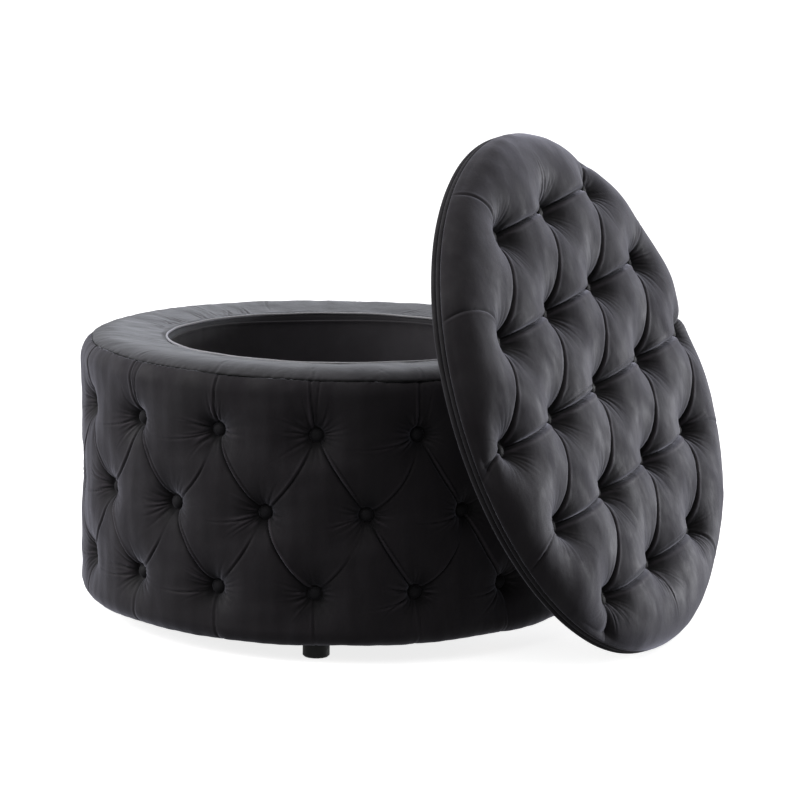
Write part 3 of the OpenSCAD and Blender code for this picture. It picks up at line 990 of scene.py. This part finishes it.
# a near-black tube laid in the rim's seam: a painted shadow line along it
dress(tube_along("rim_seam_painted_shade", seam_line, 1.0), "seam", "base")
dress(build_lid(), "velvet", "lid", ("lid_cover", "lid_foam"))

# covered buttons
rng = np.random.default_rng(SEED + 3)
for row, name in enumerate(BUTTON_ROWS):
    buttons = build_buttons("covered_" + name, wall_seats(row), rng)
    dress(buttons, "velvet_button", "base", stands_for=(name,))
seats = [(to_lid(x, y, LID_SEAT), LID_SLOPE, LID_SIDE, LID_OUT) for x, y in lid_spots()]
# fold 1.0: the lid's buttons are painted in full shade, as their pits are dark
buttons = build_buttons("covered_lid_buttons", seats, rng, 1.0)
dress(buttons, "shaded_pit_button", "lid", stands_for=("lid_buttons",))

# the piping round the well's mouth, light grey partly as its own colour and partly as a painted highlight,
# and the cloth that lines the well
mouth = lathe("mouth_welt", ring_section(WELL_R + 2.2, MOUTH_Z + 0.6, 1.7), WELL_COLUMNS, to_base,
              cord_pucker(rng, 0.14, 0.7, WELL_AROUND))
dress(mouth, "piping", "base")
well_cloth = dress(build_lining(), "lining", "base", stands_for=("well_lining",))


def lay(name, disc, look, body, radius, low, thick, wave, size, place, holes=()):
    """A flat sheet of cloth in place of a CAD disc."""
    made = dress(cloth_disc(name, radius, low, thick, wave, size, place, holes), look, body, (disc,))


foot_angles = [FOOT_TURN + k * math.pi / 2 for k in range(4)]
feet = [(FOOT_AT_R * math.cos(a), FOOT_AT_R * math.sin(a), FOOT_R + 0.4) for a in foot_angles]
lay("floor_cloth", "floor_lining", "lining", "base", WELL_R + 1.6, FLOOR_Z - LINING_T, LINING_T, 1.2, 60,
    flat_base)
lay("under_cloth", "dust_cover", "dust_cloth", "base", half_width("dust_cover"),
    span("dust_cover")[0][2] + 0.1, THIN_T - 0.4, 0.3, 50, flat_base, feet)
lay("lid_under_cloth", "lid_lining", "dust_cloth", "lid", LID_LINING_R, 0.0, THIN_T - 0.3, 0.3, 50, to_lid)

# the roll and the wrapped edge round the lid
lid_around = TURN * LID_R
roll = lathe("lid_cord", ring_section(LID_R - WELT_R - 0.5, BAND_H + WELT_R, WELT_R + 0.4), 1400, lid_place,
             cord_pucker(rng, 0.14, 0.25, lid_around))
dress(roll, "trim_velvet", "lid", stands_for=("lid_welt",))
band = [(LID_LINING_R + 0.2, 0.3), (LID_R - 6, 0.1), (LID_R - 2.2, 0.8), (LID_R - 0.5, 2.8),
        (LID_R - 0.1, 5.0), (LID_R - 0.8, 7.4), (LID_R - 2.8, 8.9), (LID_R - 6.8, 9.2), (LID_R - 6.8, 1.4),
        (LID_LINING_R + 0.2, 1.2)]
border = lathe("lid_border", band[::-1], 1100, lid_place, cord_pucker(rng, 0.10, 0.22, lid_around))
dress(border, "trim_velvet", "lid", stands_for=("lid_band",))


# ---- studio ----
def area_light(name, place, aim, size, watts, colour=(1, 1, 1)):
    """A soft box at place that faces aim; size is its width and height, in metres."""
    lamp = bpy.data.lights.new(name, "AREA")
    lamp.shape = "RECTANGLE"
    lamp.size, lamp.size_y = size
    lamp.energy = watts
    lamp.color = colour
    thing = bpy.data.objects.new(name, lamp)
    thing.location = place
    turn = np.array(aim, float) - np.array(place, float)
    thing.rotation_euler = Vector(turn).to_track_quat("-Z", "Y").to_euler()
    bpy.context.scene.collection.objects.link(thing)


area_light("overhead", (-0.5, -1.3, 2.5), (0, 0, 0.3), (3.0, 3.0), 30)
area_light("left_side", (-3.0, -2.0, 1.7), (-0.2, 0, 0.3), (1.6, 1.8), 64)
area_light("right_side", (2.4, 3.0, 0.4), (0.35, 0, 0.35), (1.2, 1.0), 134, (0.95, 0.96, 1.0))

bpy.ops.mesh.primitive_plane_add(size=80, location=(0, 0, 0))
floor = bpy.context.object
floor.name = "studio_floor"
mat, tree, shader = material("pale_floor")
put(shader, Roughness=0.9, Specular_IOR_Level=0.1, Emission_Color=(1, 1, 1, 1), Emission_Strength=0.80)
paleness = mixed(tree, noise(tree, 0.4, 2), (0.90, 0.90, 0.90), (0.93, 0.93, 0.93))
tree.links.new(paleness, shader.inputs["Base Color"])
floor.data.materials.append(mat)
floor.visible_diffuse = floor.visible_glossy = False

DIM_SIDE = (0.467, -0.884, 0.0)  # the side that the photographer stands on
UP = (0, 0, 1)


def studio_world(front, back, top, below):
    """A soft white room, with its strength on the dim side, opposite it, overhead and underneath."""
    world = bpy.data.worlds.new("studio")
    bpy.context.scene.world = world
    world.use_nodes = True
    tree = world.node_tree
    ray = node(tree, "ShaderNodeTexCoord").outputs["Generated"]

    def toward(axis, start, end, low, high):
        dot = node(tree, "ShaderNodeVectorMath", [(0, ray)], operation="DOT_PRODUCT")
        dot.inputs[1].default_value = axis
        return ranged(tree, dot.outputs["Value"], low, high, start, end, "SMOOTHSTEP")

    room = toward(DIM_SIDE, -0.35, 0.45, back, front)
    total = maths(tree, "MULTIPLY", room, toward(UP, -0.12, 0.0, 0.0, 1.0))
    for part in (toward(UP, -0.12, 0.0, below, 0.0), toward(UP, 0.35, 0.9, 0.0, top)):
        total = maths(tree, "ADD", total, part)
    shade = tree.nodes["Background"].inputs
    tree.links.new(total, shade["Strength"])
    shade["Color"].default_value = (1, 1, 1, 1)


studio_world(front=0.135, back=0.50, top=0.35, below=0.22)


# ---- camera ----
def aim_camera():
    """A long lens on the ottoman's open side, a little above it, in degrees and metres."""
    azimuth, yaw, pitch, roll = (math.radians(d) for d in (27.89, 0.30, 9.656, 0.946))
    away, aside, high = 4.535, 0.1226, 1.099
    data = bpy.data.cameras.new("camera")
    data.sensor_width, data.lens = 36.0, 131.98
    data.clip_end = 200
    cam = bpy.data.objects.new("camera", data)
    bpy.context.scene.collection.objects.link(cam)
    turn = azimuth + yaw
    ahead = np.array([-math.sin(turn) * math.cos(pitch), math.cos(turn) * math.cos(pitch), -math.sin(pitch)])
    right = np.array([math.cos(turn), math.sin(turn), 0.0])
    up = np.cross(right, ahead)
    right, up = (math.cos(roll) * right + math.sin(roll) * up, -math.sin(roll) * right + math.cos(roll) * up)
    place = np.array([BASE_X * MM + away * math.sin(azimuth) + aside * math.cos(azimuth),
                      -away * math.cos(azimuth) + aside * math.sin(azimuth), high])
    basis = np.eye(4)
    basis[:3] = np.stack([right, up, -ahead, place], 1)
    cam.matrix_world = Matrix(basis.tolist())
    bpy.context.scene.camera = cam


aim_camera()
bpy.context.scene.view_settings.view_transform = "Standard"
